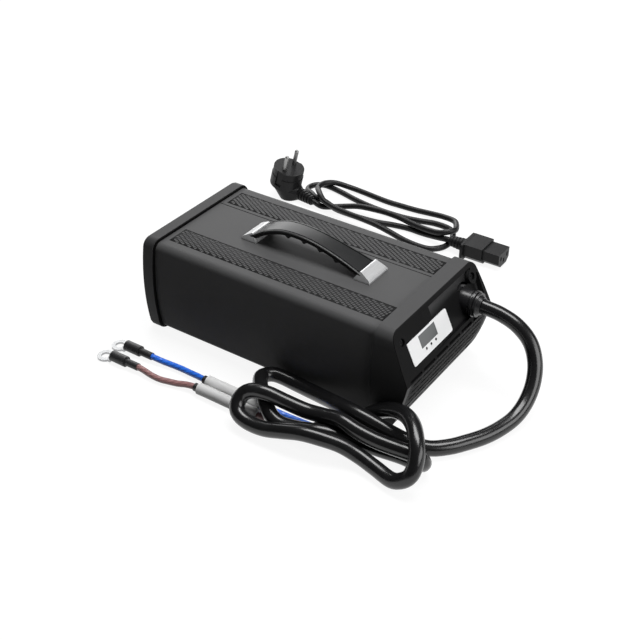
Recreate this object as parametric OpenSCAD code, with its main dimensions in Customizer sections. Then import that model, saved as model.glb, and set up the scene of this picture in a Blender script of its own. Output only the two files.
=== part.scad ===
// Lithium battery charger: a barrel-sided aluminium box between two moulded end caps,
// with a strap handle on top, a display on the slanted front end, a charging lead that
// ends in two ring terminals, and a detachable mains lead that lies behind it.
// Frame: +Z up, X along the box with the display end at +X, Y across it with the hank of
// the charging lead at -Y, the origin on the floor under the middle of the charger.

/* [Body] */
// Length of the top between the outer edges of the two end caps
top_len = 270; // [240:1:300]
// Width of the end caps where the sides bulge most
body_w = 152; // [140:1:170]
// Height of the end caps
body_h = 98.5; // [90:0.5:110]
// Radius of the bulging sides
side_r = 220; // [180:5:400]
// Radius along the long edges of the caps
edge_r = 10; // [8:0.5:14]
// How far the caps stand proud of the aluminium case all round
cap_lip = 2.7; // [2:0.1:4]
// Wall of the aluminium case
case_wall = 2.4; // [1.6:0.2:3]
// Thickness of the rear cap along the box
rear_cap_len = 14.5; // [12:0.5:20]
// Length of the front cap along the top
front_cap_len = 16; // [14:0.5:20]
// Width of the black gasket between the rear cap and the case
gasket_w = 1.2; // [0.8:0.2:3]
// Depth of the rear panel inside its rim
rim_depth = 2; // [1.8:0.1:3]
// How far the heads of the guard's screws stand out past that rim
rear_out = 2.4; // [2.4:0.1:3]
// Wall of the moulded caps
cap_wall = 3; // [2.4:0.2:4]
// Clearance between the caps and the case
fit_gap = 0.05; // [0.02:0.01:0.1]

/* [Display end] */
// How far the ridge of the display end stands out past its top edge
ridge_out = 20.6; // [15:0.2:26]
// Height of the ridge above the floor
ridge_z = 54.2; // [48:0.2:60]
// Width of the display label
label_w = 65.5; // [55:0.5:75]
// Height of the display label along the slope
label_h = 22; // [18:0.5:26]
// Edge of the label nearest the -Y side, from the middle
label_y = -57.7; // [-60:0.1:-50]
// Distance of the label's lower edge above the ridge along the slope
label_v = 10.1; // [8:0.1:14]
// Width of the display window
window_w = 27; // [20:0.5:32]
// Height of the display window
window_h = 12; // [8:0.5:14]
// Diameter of the three indicator lamps
lamp_d = 2.4; // [1.8:0.2:3]

/* [Vents] */
// Length of one vent slot
vent_len = 18.8; // [14:0.2:20]
// Spacing of the slots in a row
vent_pitch = 22.2; // [20:0.2:24]
// Height of one vent slot
vent_h = 2.2; // [1.6:0.1:3]

/* [Top] */
// Distance of the textured strips' inner edges from the middle
strip_in = 31.3; // [28:0.1:36]
// Distance of the textured strips' outer edges from the middle
strip_out = 55.4; // [50:0.1:58]
// Depth of the textured strips' recess
strip_depth = 0.4; // [0.2:0.1:0.6]
// Width of the handle's end brackets
bracket_w = 31; // [26:0.5:40]
// Length of a handle bracket
bracket_len = 16.5; // [14:0.5:20]
// Width of the strap in the middle
strap_w = 21; // [18:0.5:28]
// Thickness of the strap
strap_t = 4.4; // [3:0.2:6]

/* [Charging lead] */
// Diameter of the charging lead
dc_d = 14; // [12:0.5:16]
// Height of the lead's gland above the floor
gland_z = 71; // [66:0.5:74]
// Distance of the gland from the middle
gland_y = 45; // [40:0.5:50]
// Diameter of the gland's body
gland_d = 22; // [20:0.5:24]
// Diameter of each of the two wires
wire_d = 5.8; // [5:0.1:7]
// Diameter of the grey sleeves
sleeve_d = 11; // [10:0.2:12]
// Hole in the ring terminals, for an 8 mm stud
ring_hole_d = 8.4; // [6.4:0.1:10.5]
// Outer diameter of the ring terminals
ring_d = 16; // [14:0.5:20]

/* [Mains lead] */
// Diameter of the mains lead
mains_d = 6.5; // [6:0.5:9]
// Diameter of the plug's pins
pin_d = 4.8; // [4:0.1:4.8]
// Length of the plug's pins
pin_len = 19; // [18:0.5:20]
// Distance between the plug's pins
pin_gap = 19; // [19:0.5:20]
// Diameter of the plug's face
plug_d = 37; // [35:0.5:39]

/* [Cooling fan] */
// Side of the square fan frame
fan_side = 80; // [60:5:80]
// Depth of the fan
fan_depth = 25; // [15:1:25]
// Diameter of the blades
blade_d = 74; // [54:1:75]
// Number of blades
blade_count = 7; // [5:1:9]

/* [Hidden] */
half_w = body_w / 2;
half_l = (top_len + ridge_out + rear_out) / 2;
rear_x = rear_out - half_l;
panel_x = rear_x + rim_depth;
seam_rear = rear_x + rear_cap_len;
edge_x = half_l - ridge_out;
ridge_x = half_l;
seam_front = edge_x - front_cap_len;
foot_x = half_l - 20.1;
tilt = atan(ridge_out / (body_h - ridge_z));
slope_len = sqrt(pow(ridge_out, 2) + pow(body_h - ridge_z, 2));
case_x0 = seam_rear - 8;
case_x1 = seam_front + 4;
case_top = body_h - cap_lip;
fan_y = half_w - 56;
fan_z = body_h / 2;
inlet_y = 29 - half_w;
inlet_z = body_h / 2;
board_z = 14;
board_w = body_w - 44;
board_l = top_len - 78;
sink_y = board_w / 2 - 10;
sink_top = body_h - 26.5;
rear_screw_y = half_w - 12;
rear_screw_z = body_h / 2 - 14.25;
face_screw_y = half_w - 14.5;
face_screw_v = slope_len - 12.8;
foot_screw_y = half_w - 18;
foot_screw_z = 12;
front_y = -half_w;
back_y = half_w;

// Half width of the section at height z for an inset d.
function side_y(z, d = 0) = half_w - side_r + sqrt(pow(side_r - d, 2) - pow(z - body_h / 2, 2));

// Centre of the section's corner circles, the same for any inset.
corner_dz = body_h / 2 - edge_r;
corner_y = half_w - side_r + sqrt(pow(side_r - edge_r, 2) - pow(corner_dz, 2));

// Half of the height up to where the side arc meets the corner circle.
function join_dz(d) = corner_dz + (edge_r - d) * corner_dz / (side_r - edge_r);

// The barrel section seen along X, with Y across and Z up.
module section(d = 0) {
  translate([0, body_h / 2]) {
    intersection() {
      translate([half_w - side_r, 0]) circle(r = side_r - d, $fn = 360);
      translate([side_r - half_w, 0]) circle(r = side_r - d, $fn = 360);
      square([body_w + 10, 2 * join_dz(d)], center = true);
    }
    square([2 * corner_y, body_h - 2 * d], center = true);
    for (sy = [-1, 1], sz = [-1, 1])
      translate([sy * corner_y, sz * corner_dz]) circle(r = edge_r - d, $fn = 48);
  }
}

// The section drawn out along X from x0 to x1.
module barrel(x0, x1, d = 0) {
  translate([x0, 0, 0]) rotate([90, 0, 90]) linear_extrude(x1 - x0) section(d);
}

// A box given by its two opposite corners.
module block(a, b) {
  translate(a) cube([b[0] - a[0], b[1] - a[1], b[2] - a[2]]);
}

// A rounded rectangle in the plane.
module round_rect(w, h, r) {
  square([w - 2 * r, h], center = true);
  square([w, h - 2 * r], center = true);
  for (sx = [-1, 1], sy = [-1, 1]) translate([sx * (w / 2 - r), sy * (h / 2 - r)]) circle(r = r, $fn = 32);
}

// A cylinder that runs along X.
module rod_x(x0, x1, d, y = 0, z = 0) {
  translate([x0, y, z]) rotate([0, 90, 0]) cylinder(d = d, h = x1 - x0, $fn = 48);
}

// A cone that runs along X.
module cone_x(x0, x1, d0, d1, y = 0, z = 0) {
  translate([x0, y, z]) rotate([0, 90, 0]) cylinder(d1 = d0, d2 = d1, h = x1 - x0, $fn = 48);
}

// Local frame of the slanted display face: across, up the slope from the ridge, outward.
module on_fascia() {
  translate([ridge_x, 0, ridge_z]) rotate([0, -tilt, 0]) rotate([90, 0, 90]) children();
}

// Front profile of the display end seen from the side, x out to the face and z up.
function nose_x(z) = z >= ridge_z ? ridge_x - (z - ridge_z) * tan(tilt)
  : foot_x + (ridge_x - foot_x) * pow(z / ridge_z, 0.59);
nose_low = [for (z = [0, 3, 7, 13, 21, 31, 42, ridge_z]) [nose_x(z), z]];

module nose_cut(x0, shift = 0) {
  translate([0, body_w, 0]) rotate([90, 0, 0]) linear_extrude(2 * body_w)
    polygon(concat([for (p = nose_low) [p[0] - shift, p[1]]], [[edge_x - shift, body_h], [x0, body_h], [x0, 0]]));
}

// Aluminium case, open at both ends, with a shallow recess for each textured strip.
module housing() {
  color("#4a4b4d") difference() {
    barrel(case_x0, case_x1, cap_lip);
    barrel(case_x0 - 1, case_x1 + 1, cap_lip + case_wall);
    for (s = [-1, 1])
      block([seam_rear + 5, min(s * strip_in, s * strip_out), case_top - strip_depth],
        [seam_front - 2, max(s * strip_in, s * strip_out), case_top + 1]);
    block([seam_rear, 26.6, case_top - 0.6], [seam_front, 27.6, case_top + 1]);
  }
}

// Moulded rear cap: a rim round a panel with the openings of the fan and the inlet.
module rear_cap() {
  color("#3a3b3c") difference() {
    union() {
      barrel(rear_x + 3, seam_rear - gasket_w, 0);
      barrel(rear_x + 1, rear_x + 3.01, 0.8);
      barrel(rear_x, rear_x + 1.01, 2.2);
    }
    barrel(rear_x - 1, panel_x, 4);
    barrel(panel_x + cap_wall, seam_rear, cap_lip - fit_gap);
    translate([panel_x - 1, fan_y, fan_z]) rotate([0, 90, 0]) cylinder(d = fan_side - 4, h = 8, $fn = 96);
    block([panel_x - 1, inlet_y - 10, inlet_z - 13.7], [panel_x + 8, inlet_y + 10, inlet_z + 13.7]);
    for (sy = [-1, 1], sz = [-1, 1]) rod_x(panel_x - 1, panel_x + 8, 3.4, sy * rear_screw_y, body_h / 2 + sz * rear_screw_z);
    for (sz = [-1, 1]) rod_x(panel_x - 1, panel_x + 8, 3.2, inlet_y, inlet_z + sz * 20);
    for (sy = [-1, 1], sz = [-1, 1]) rod_x(panel_x - 1, panel_x + 8, 4.2, fan_y + sy * 35.75, fan_z + sz * 35.75);
  }
}

// Black gasket ring between the rear cap and the case.
module rear_gasket() {
  color("#0c0c0c") difference() {
    barrel(seam_rear - gasket_w, seam_rear, 0.5);
    barrel(seam_rear - gasket_w - 1, seam_rear + 1, cap_lip - fit_gap);
  }
}

// Places of the vent slots and of the fine grooves between their rows.
row_pitch = 8.2;
rib_pitch = row_pitch / 4;
rib_depth = 1.5;
function vent_y(k) = (k - 3) * vent_pitch + (vent_pitch - vent_len) / 2 - 4.6;
function vent_z(row) = ridge_z + 0.4 - row * row_pitch;

// Outline of the sunk field beside the gland, in the face's own frame.
module sunk_field() {
  difference() {
    union() {
      translate([-25, 6]) square([95.4, 32.6]);
      translate([-25, 6]) square([89, 38.6]);
      translate([64.4, 38.6]) circle(r = 6, $fn = 32);
    }
    translate([61.5, 36]) circle(r = 6.6, $fn = 40);
    translate([61.5, 36]) square([20, 20]);
  }
}

// Moulded front cap: slanted face, rim, sunk field, screw holes and rows of vents.
module front_cap() {
  color("#2c2d2e") difference() {
    intersection() {
      barrel(seam_front, ridge_x + 1, 0);
      nose_cut(seam_front - 1);
    }
    intersection() {
      barrel(seam_front + 5, ridge_x, cap_wall);
      nose_cut(seam_front + 4, 9.5);
    }
    barrel(seam_front - 1, seam_front + 6, cap_lip - fit_gap);
    intersection() {
      on_fascia() translate([0, 0, -7]) linear_extrude(9) sunk_field();
      on_fascia() translate([-25, 0, 0]) rotate([0, 3, 0]) translate([0, -5, 0]) cube([110, 60, 12]);
    }
    on_fascia() translate([label_y, label_v, -0.6]) cube([label_w, label_h, 2]);
    for (sy = [-1, 1]) {
      on_fascia() translate([sy * face_screw_y, face_screw_v, -4]) cylinder(d = 7, h = 6, $fn = 40);
      on_fascia() translate([sy * face_screw_y, face_screw_v, -14]) cylinder(d = 3.4, h = 16, $fn = 32);
      rod_x(foot_x - 12, foot_x + 18, 3.4, sy * foot_screw_y, foot_screw_z);
      rod_x(foot_x + 4, foot_x + 20, 7, sy * foot_screw_y, foot_screw_z);
    }
    for (row = [0:3], k = [0:5])
      block([ridge_x - 26 - row * 1.5, vent_y(k), vent_z(row)],
        [ridge_x + 5, vent_y(k) + vent_len, vent_z(row) + (row == 0 ? vent_h : rib_pitch / 2)]);
    for (k = [1:15]) let (z = vent_z(0) - k * rib_pitch)
      block([nose_x(z) - rib_depth, 6 - half_w, z], [ridge_x + 5, half_w - 6, z + rib_pitch / 2]);
    rod_x(edge_x - 6, ridge_x + 4, gland_d + 2 * fit_gap, gland_y, gland_z);
    rod_x(gland_nose - 7.5, ridge_x + 4, gland_d + 2.6 + 2 * fit_gap, gland_y, gland_z);
    rod_x(gland_x0 - 10, gland_x0, gland_d + 9, gland_y, gland_z);
  }
}

// Circuit board of the display, against the inside of the slanted face.
module display_board() {
  color("#1d6b3c") difference() {
    on_fascia() translate([label_y, label_v - 1, -10.25]) cube([label_w, label_h + 2, 1.6]);
    for (y = [label_y + 6, label_y + label_w - 6])
      on_fascia() translate([y, label_v + 4, -11]) cylinder(d = 3, h = 4, $fn = 24);
  }
}

// Glossy white label round the display window.
module display_label() {
  color("#f4f5f5") on_fascia() translate([label_y + label_w / 2, label_v + label_h / 2, -0.6])
    difference() {
      linear_extrude(1) round_rect(label_w - 0.1, label_h - 0.1, 2);
      translate([(label_y + label_w / 2) * -1 - 40.5, 18.2 - label_v - label_h / 2, 0.4]) cube([window_w, window_h, 1]);
      for (k = [0:2]) translate([-34.85 + k * 8 - label_y - label_w / 2, 15.9 - label_v - label_h / 2, 0.4])
        cylinder(d = lamp_d, h = 1, $fn = 32);
    }
}

// Grey display window let into the label.
module display_window() {
  color("#6d7073") on_fascia() translate([-40.5, 18.2, -0.2]) cube([window_w, window_h, 0.45]);
}

// Three small round indicator lamps under the window.
module indicator_lamps() {
  color("#1c1c1e") on_fascia() for (k = [0:2]) translate([-34.85 + k * 8, 15.9, -0.2])
    cylinder(d = lamp_d, h = 0.9, $fn = 32);
}

// Pan head screw that points along +Z, with a cross recess.
module pan_screw(len, d = 3.3, head = 6.4) {
  difference() {
    union() {
      cylinder(d = d, h = len, $fn = 32);
      translate([0, 0, len]) cylinder(d = head, h = 1.6, $fn = 40);
      translate([0, 0, len + 1.6]) cylinder(d1 = head, d2 = head - 2.4, h = 0.8, $fn = 40);
    }
    for (a = [0, 90]) rotate([0, 0, a]) translate([-1.7, -0.4, len + 0.9]) cube([3.4, 0.8, 3]);
  }
}

// Screws that hold the front cap, two on the slanted face and two below.
module front_screws() {
  color("#26272a") {
    for (sy = [-1, 1]) {
      on_fascia() translate([sy * face_screw_y, face_screw_v, -12]) pan_screw(8);
      translate([foot_x - 8, sy * foot_screw_y, foot_screw_z]) rotate([0, 90, 0]) pan_screw(12);
    }
  }
}

// Screws that hold the rear cap, the inlet and the fan.
module rear_screws() {
  color("#26272a") {
    for (sy = [-1, 1], sz = [-1, 1])
      translate([panel_x + 7, sy * rear_screw_y, body_h / 2 + sz * rear_screw_z]) rotate([0, -90, 0]) pan_screw(7);
    for (sz = [-1, 1]) translate([panel_x + 6, inlet_y, inlet_z + sz * 20]) rotate([0, -90, 0]) pan_screw(7.2, 3.1, 5.6);
    for (sy = [-1, 1], sz = [-1, 1])
      translate([panel_x + 6, fan_y + sy * 35.75, fan_z + sz * 35.75]) rotate([0, -90, 0]) pan_screw(7.8, 4.1, 7);
  }
}

gland_x0 = edge_x + 3.6;
gland_nose = half_l + 4;

// Gland body let into the slanted face, with a flange and a hexagon inside.
module gland_body() {
  color("#1b1b1c") difference() {
    union() {
      rod_x(gland_x0, gland_nose - 9.4, gland_d, gland_y, gland_z);
      translate([gland_x0 - 4, gland_y, gland_z]) rotate([0, 90, 0]) cylinder(d = gland_d + 8, h = 4, $fn = 6);
    }
    rod_x(gland_x0 - 5, gland_nose, dc_d, gland_y, gland_z);
  }
}

// Ribbed boot that grips the lead at the gland.
module gland_boot() {
  color("#202021") difference() {
    union() {
      rod_x(gland_nose - 9.4, gland_nose - 7.2, gland_d - 1.6, gland_y, gland_z);
      rod_x(gland_nose - 7.2, gland_nose - 5, gland_d + 2.6, gland_y, gland_z);
      rod_x(gland_nose - 5, gland_nose - 4, gland_d - 2.4, gland_y, gland_z);
      rod_x(gland_nose - 4, gland_nose - 1.8, gland_d + 0.6, gland_y, gland_z);
      cone_x(gland_nose - 1.8, gland_nose + 1.5, gland_d - 3, dc_d + 2.4, gland_y, gland_z);
    }
    rod_x(gland_nose - 10, gland_nose + 5, dc_d, gland_y, gland_z);
  }
}

// Points of a smooth curve through the given points, n steps to each piece.
function cat(p0, p1, p2, p3, t) = 0.5 * ((2 * p1) + (p2 - p0) * t + (2 * p0 - 5 * p1 + 4 * p2 - p3) * t * t
  + (3 * p1 - p0 - 3 * p2 + p3) * t * t * t);
function smooth(p, n) = concat([for (i = [0:len(p) - 2], k = [0:n - 1])
  cat(i == 0 ? 2 * p[0] - p[1] : p[i - 1], p[i], p[i + 1], i == len(p) - 2 ? 2 * p[i + 1] - p[i] : p[i + 2], k / n)],
  [p[len(p) - 1]]);

// Top line of the handle strap, x along the box and z up.
strap_rise = [[-63, 4.8], [-56, 8.8], [-46, 14.6], [-30, 20], [-13, 21.4], [5, 20], [23, 16.4], [42, 11.2], [55, 7],
  [63, 4.2]];
strap_line = [for (p = strap_rise) [p[0], case_top + p[1]]];
strap_top = smooth(strap_line, 4);

module strap_side(drop) {
  polygon(concat(strap_top, [for (i = [len(strap_top) - 1:-1:0]) strap_top[i] - [0, drop]]));
}

// Outline of the strap from above: wide ends and a narrower middle.
strap_plan = concat([for (k = [0:16]) let (x = -63 + k * 126 / 16)
    [x, (bracket_w / 2 - 1.5) - (bracket_w / 2 - 1.5 - strap_w / 2) * pow(sin(k * 180 / 16), 0.8)]],
  [for (k = [16:-1:0]) let (x = -63 + k * 126 / 16)
    [x, -(bracket_w / 2 - 1.5) + (bracket_w / 2 - 1.5 - strap_w / 2) * pow(sin(k * 180 / 16), 0.8)]]);

// Flexible strap arched between the brackets, with four finger bumps underneath.
module handle_strap() {
  color("#2e2f31") {
    intersection() {
      translate([0, 40, 0]) rotate([90, 0, 0]) linear_extrude(80) strap_side(strap_t);
      translate([0, 0, case_top + 1]) linear_extrude(40) polygon(strap_plan);
    }
    for (b = [[-21, 15.8], [-3, 16.4], [15, 13.6], [33, 9.1]])
      translate([b[0], strap_w / 2 - 2, case_top + b[1]]) rotate([90, 0, 0]) cylinder(d = 6, h = strap_w - 4, $fn = 32);
  }
}

// Die-cast bracket with a bevelled top, its tall end towards the strap.
module bracket() {
  intersection() {
    translate([0, bracket_w / 2, case_top]) rotate([90, 0, 0]) linear_extrude(bracket_w)
      polygon([[0, 0], [0, 1.6], [1.6, 3.6], [bracket_len - 6.2, 8.4], [bracket_len - 5, 8.3], [bracket_len, 1.4],
        [bracket_len, 0]]);
    translate([-1, 0, case_top]) rotate([90, 0, 90]) linear_extrude(bracket_len + 2)
      polygon([[-bracket_w / 2, 0], [-bracket_w / 2, 1.2], [3 - bracket_w / 2, 9], [bracket_w / 2 - 3, 9],
        [bracket_w / 2, 1.2], [bracket_w / 2, 0]]);
  }
}

module strap_slot() {
  translate([0, bracket_w / 2 - 1.5, 0]) rotate([90, 0, 0]) linear_extrude(bracket_w - 3) strap_side(strap_t + 0.02);
}

module bracket_left() {
  color("#d9dadb") difference() {
    translate([-70.6, 0, 0]) bracket();
    strap_slot();
  }
}

module bracket_right() {
  color("#d9dadb") difference() {
    translate([69.8, 0, 0]) mirror([1, 0, 0]) bracket();
    strap_slot();
  }
}

// Square frame of the cooling fan with its hub's spokes.
module fan_frame() {
  fx = panel_x + cap_wall;
  color("#242426") difference() {
    union() {
      difference() {
        translate([fx + fan_depth / 2, fan_y, fan_z]) cube([fan_depth, fan_side, fan_side], center = true);
        rod_x(fx - 1, fx + fan_depth + 1, fan_side - 4, fan_y, fan_z);
      }
      rod_x(fx + fan_depth - 4.4, fx + fan_depth - 0.2, 32, fan_y, fan_z);
      for (a = [45:90:315]) translate([fx + fan_depth - 4, fan_y, fan_z]) rotate([a, 0, 0])
        translate([0, -2, 10]) cube([3.2, 4, fan_side / 2 - 11]);
    }
    rod_x(fx + fan_depth - 5, fx + fan_depth + 1, 5, fan_y, fan_z);
    for (sy = [-1, 1], sz = [-1, 1]) rod_x(fx - 1, fx + fan_depth + 1, 4.2, fan_y + sy * 35.75, fan_z + sz * 35.75);
  }
}

// Fan wheel on its shaft: a hub with slanted flat blades.
module fan_rotor() {
  fx = panel_x + cap_wall;
  color("#303033") {
    rod_x(fx + 3, fx + fan_depth - 5, 32, fan_y, fan_z);
    rod_x(fx + fan_depth - 5, fx + fan_depth - 0.5, 4.9, fan_y, fan_z);
    for (k = [0:blade_count - 1]) translate([fx + fan_depth / 2 - 1.5, fan_y, fan_z])
      rotate([k * 360 / blade_count, 0, 0]) translate([0, 0, 15])
        rotate([0, 0, 38]) translate([-0.7, -10, 0]) cube([1.4, 20, blade_d / 2 - 17.5]);
  }
}

// Wire guard over the fan, rings joined by four spokes, fixed at the frame's corners.
module fan_guard() {
  gx = panel_x - 0.9;
  color("#b9bbbd") {
    for (r = [10, 18, 26, 34]) translate([gx, fan_y, fan_z]) rotate([0, 90, 0])
      rotate_extrude($fn = 64) translate([r, 0]) circle(d = 1.8, $fn = 16);
    for (a = [45:90:315]) translate([gx, fan_y, fan_z]) rotate([a, 0, 0])
      difference() {
        translate([0.1, 0, 9.2]) cylinder(d = 1.5, h = 38, $fn = 16);
        translate([-2, -5, 46.9]) cube([4, 10, 6]);
      }
    for (sy = [-1, 1], sz = [-1, 1]) translate([gx, fan_y + sy * 35.75, fan_z + sz * 35.75]) rotate([0, 90, 0])
      difference() {
        translate([0, 0, -0.9]) cylinder(d = 9, h = 1.8, $fn = 32);
        translate([0, 0, -2]) cylinder(d = 4.2, h = 5, $fn = 32);
      }
  }
}

// Mains inlet: a shrouded socket with a screw flange, standing upright.
module mains_inlet() {
  color("#1a1a1b") difference() {
    union() {
      translate([panel_x - 2.4, inlet_y, inlet_z]) rotate([90, 0, 90]) linear_extrude(2.4) round_rect(24, 50, 4);
      block([panel_x - 0.01, inlet_y - 9.9, inlet_z - 13.6], [panel_x + 22, inlet_y + 9.9, inlet_z + 13.6]);
    }
    translate([panel_x - 3, inlet_y, inlet_z]) rotate([90, 0, 90]) linear_extrude(20.6) inlet_shape(16.6, 24.6);
    for (p = inlet_pin_at) block([panel_x + 17, inlet_y + p[0] - 2, inlet_z + p[1] - 1],
      [panel_x + 23, inlet_y + p[0] + 2, inlet_z + p[1] + 1]);
    for (sz = [-1, 1]) {
      rod_x(panel_x - 3, panel_x + 5, 3.2, inlet_y, inlet_z + sz * 20);
      rod_x(panel_x - 3, panel_x - 1.2, 5.8, inlet_y, inlet_z + sz * 20);
    }
  }
}

// Outline of the connector's nose: a rectangle with two cut corners.
module inlet_shape(w, h) {
  c = 5;
  polygon([[-w / 2, -h / 2], [w / 2 - c, -h / 2], [w / 2, -h / 2 + c], [w / 2, h / 2 - c], [w / 2 - c, h / 2],
    [-w / 2, h / 2]]);
}

// Three flat pins of the inlet, across and up from its middle.
inlet_pin_at = [[-2, -7], [-2, 7], [2, 0]];
module inlet_pins() {
  color("#c9cbcc") for (p = inlet_pin_at)
    block([panel_x + 2.6, inlet_y + p[0] - 2, inlet_z + p[1] - 1], [panel_x + 28, inlet_y + p[0] + 2, inlet_z + p[1] + 1]);
}

// Circuit board on four pillars inside the case.
module circuit_board() {
  color("#1f7040") {
    difference() {
      block([-board_l / 2, -board_w / 2, board_z], [board_l / 2, board_w / 2, board_z + 1.6]);
      for (sx = [-1, 1], sy = [-1, 1]) translate([sx * (board_l / 2 - 8), sy * (board_w / 2 - 8), board_z - 1]) cylinder(d = 3.2, h = 4, $fn = 24);
    }
    for (sx = [-1, 1], sy = [-1, 1]) translate([sx * (board_l / 2 - 8), sy * (board_w / 2 - 8), cap_lip + case_wall])
      difference() {
        cylinder(d = 7, h = board_z - cap_lip - case_wall, $fn = 32);
        translate([0, 0, -1]) cylinder(d = 3.2, h = 20, $fn = 24);
      }
  }
}

// Two finned heat sinks that stand on the board.
module heat_sinks() {
  color("#a9abad") for (sy = [-1, 1]) {
    block([-60, sy * sink_y - 2, board_z + 1.6], [60, sy * sink_y + 2, sink_top]);
    for (k = [0:7]) block([-59 + k * 16, sy * (sink_y - 6) - 6, board_z + 8], [-57 + k * 16, sy * (sink_y - 6) + 6, sink_top]);
  }
}

// Transformer: a ferrite core round a wound bobbin.
module transformer() {
  color("#c08a2d") {
    block([-22, -20, board_z + 1.6], [22, 20, board_z + 7]);
    block([-22, -20, 52], [22, 20, 57]);
    block([-22, -8, board_z + 6.9], [-14, 8, 52.1]);
    block([14, -8, board_z + 6.9], [22, 8, 52.1]);
    translate([0, 0, board_z + 6.9]) cylinder(d = 26, h = 38.3, $fn = 48);
  }
}

// Six smoothing capacitors.
module capacitors() {
  color("#24303f") for (x = [-84, -84 + 23, 84 - 23, 84], y = [-20, 4])
    if (abs(x) > 70 || y > -10) translate([x, y, board_z + 1.6]) cylinder(d = 20, h = 38, $fn = 48);
}

// Toroidal choke.
module choke() {
  color("#8c5a28") translate([42, -14, board_z + 1.6 + 4.4])
    rotate_extrude($fn = 64) translate([9, 0]) circle(r = 4.4, $fn = 32);
}

// Swept tube of diameter d along points, capped at both ends, sides around it.
function unit(v) = v / norm(v);
function tangent(p, i) = unit(p[min(i + 1, len(p) - 1)] - p[max(i - 1, 0)]);
function level(t) = unit(cross([0, 0, 1], t));
function ring(p, i, r, n) = let (t = tangent(p, i), a = level(t), b = cross(t, a))
  [for (k = [0:n - 1]) p[i] + r * (cos(k * 360 / n) * a + sin(k * 360 / n) * b)];
module tube(p, d, n = 10) {
  m = len(p);
  pts = [for (i = [0:m - 1]) each ring(p, i, d / 2, n)];
  sides = [for (i = [0:m - 2], k = [0:n - 1])
    [i * n + k, i * n + (k + 1) % n, (i + 1) * n + (k + 1) % n, (i + 1) * n + k]];
  polyhedron(points = pts, faces = concat([for (f = sides) [f[3], f[2], f[1], f[0]]],
    [[for (k = [0:n - 1]) k], [for (k = [n - 1:-1:0]) (m - 1) * n + k]]), convexity = 10);
}

// Route of the charging lead from the gland down to the floor and to its hank.
dc_route = [[gland_nose + 1.5, gland_y, gland_z], [160, 45, 70.9], [170, 45, 69.8], [181, 45, 66.5], [192, 44.4, 61.5], [202, 41.5, 53],
  [210, 36, 42], [215.5, 27, 30], [217.5, 14, 19.5], [217, 0, 12], [214.5, -14, 8.2], [210, -29, 7.2],
  [203, front_y + 31, 7.2], [194, front_y + 16, 7.2], [183, front_y + 3, 7.2], [171, front_y - 5.5, 7.2]];
module dc_lead() {
  color("#161617") tube(dc_route, dc_d - 0.2, 12);
}

// The hank of the charging lead, one solid with round ends in two steps.
module hank_step(x0, x1, y0, y1, z0, z1) {
  r = (y1 - y0) / 2;
  translate([0, 0, z0]) linear_extrude(z1 - z0) {
    translate([x0 + r, y0]) square([x1 - x0 - 2 * r, 2 * r]);
    translate([x0 + r, y0 + r]) circle(r = r, $fn = 64);
    translate([x1 - r, y0 + r]) circle(r = r, $fn = 64);
  }
}
module dc_hank() {
  color("#161617") {
    hank_step(-1, 118, front_y - 75.4, front_y + 5, 0.2, 16);
    hank_step(40, 191, front_y - 68, front_y + 1.6, 0.2, 16);
    hank_step(6, 191, front_y - 72, front_y - 0.8, 15.99, 38);
    hank_step(100, 191, front_y - 60, front_y - 0.8, 37.99, 48);
  }
}

// Two grey sleeves, each with a black collar at its outer end.
sleeve_x = -43;
blue_y = front_y - 37.6;
brown_y = front_y - 50.4;
module sleeve_blue() {
  color("#a6a7a8") difference() {
    rod_x(sleeve_x, 14, sleeve_d, blue_y, sleeve_d / 2 + 0.1);
    rod_x(sleeve_x - 1, sleeve_x + 6, wire_d, blue_y, sleeve_d / 2 + 0.1);
  }
}
module sleeve_brown() {
  color("#a6a7a8") difference() {
    rod_x(sleeve_x, 14, sleeve_d, brown_y, sleeve_d / 2 + 0.1);
    rod_x(sleeve_x - 1, sleeve_x + 6, wire_d, brown_y, sleeve_d / 2 + 0.1);
  }
}
module collar(y) {
  difference() {
    rod_x(sleeve_x - 4, sleeve_x, wire_d + 2.2, y, sleeve_d / 2 + 0.1);
    rod_x(sleeve_x - 5, sleeve_x + 1, wire_d, y, sleeve_d / 2 + 0.1);
  }
}
module collar_blue() {
  color("#1a1a1a") collar(blue_y);
}
module collar_brown() {
  color("#1a1a1a") collar(brown_y);
}

// Routes of the two wires from the sleeves to the shrunk boots.
lug_x = -104;
boot_x = -135.4;
lug_blue_y = front_y - 37.9;
lug_brown_y = front_y - 57.4;
lug_z = 5.4;
ring_x = -144.8;
blue_route = [[sleeve_x + 6, blue_y, sleeve_d / 2 + 0.1], [-50, blue_y + 0.8, 5.2], [-60, blue_y + 1.8, 4.2],
  [-70, blue_y + 2.2, 4], [-80, lug_blue_y + 2.1, 4], [-90, lug_blue_y + 1.2, 4.2], [-98, lug_blue_y + 0.3, 5],
  [lug_x - 6, lug_blue_y, lug_z]];
brown_route = [[sleeve_x + 6, brown_y, sleeve_d / 2 + 0.1], [-50, brown_y - 1.4, 5.2], [-59, brown_y - 4, 4.2],
  [-68, lug_brown_y + 0.8, 4], [-77, lug_brown_y - 1.2, 4], [-87, lug_brown_y - 1.2, 4.2], [-97, lug_brown_y - 0.3, 5],
  [lug_x - 6, lug_brown_y, lug_z]];
module wire_blue() {
  color("#2565c8") tube(blue_route, wire_d - 0.2, 12);
}
module wire_brown() {
  color("#6d4038") tube(brown_route, wire_d - 0.2, 12);
}

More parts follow.
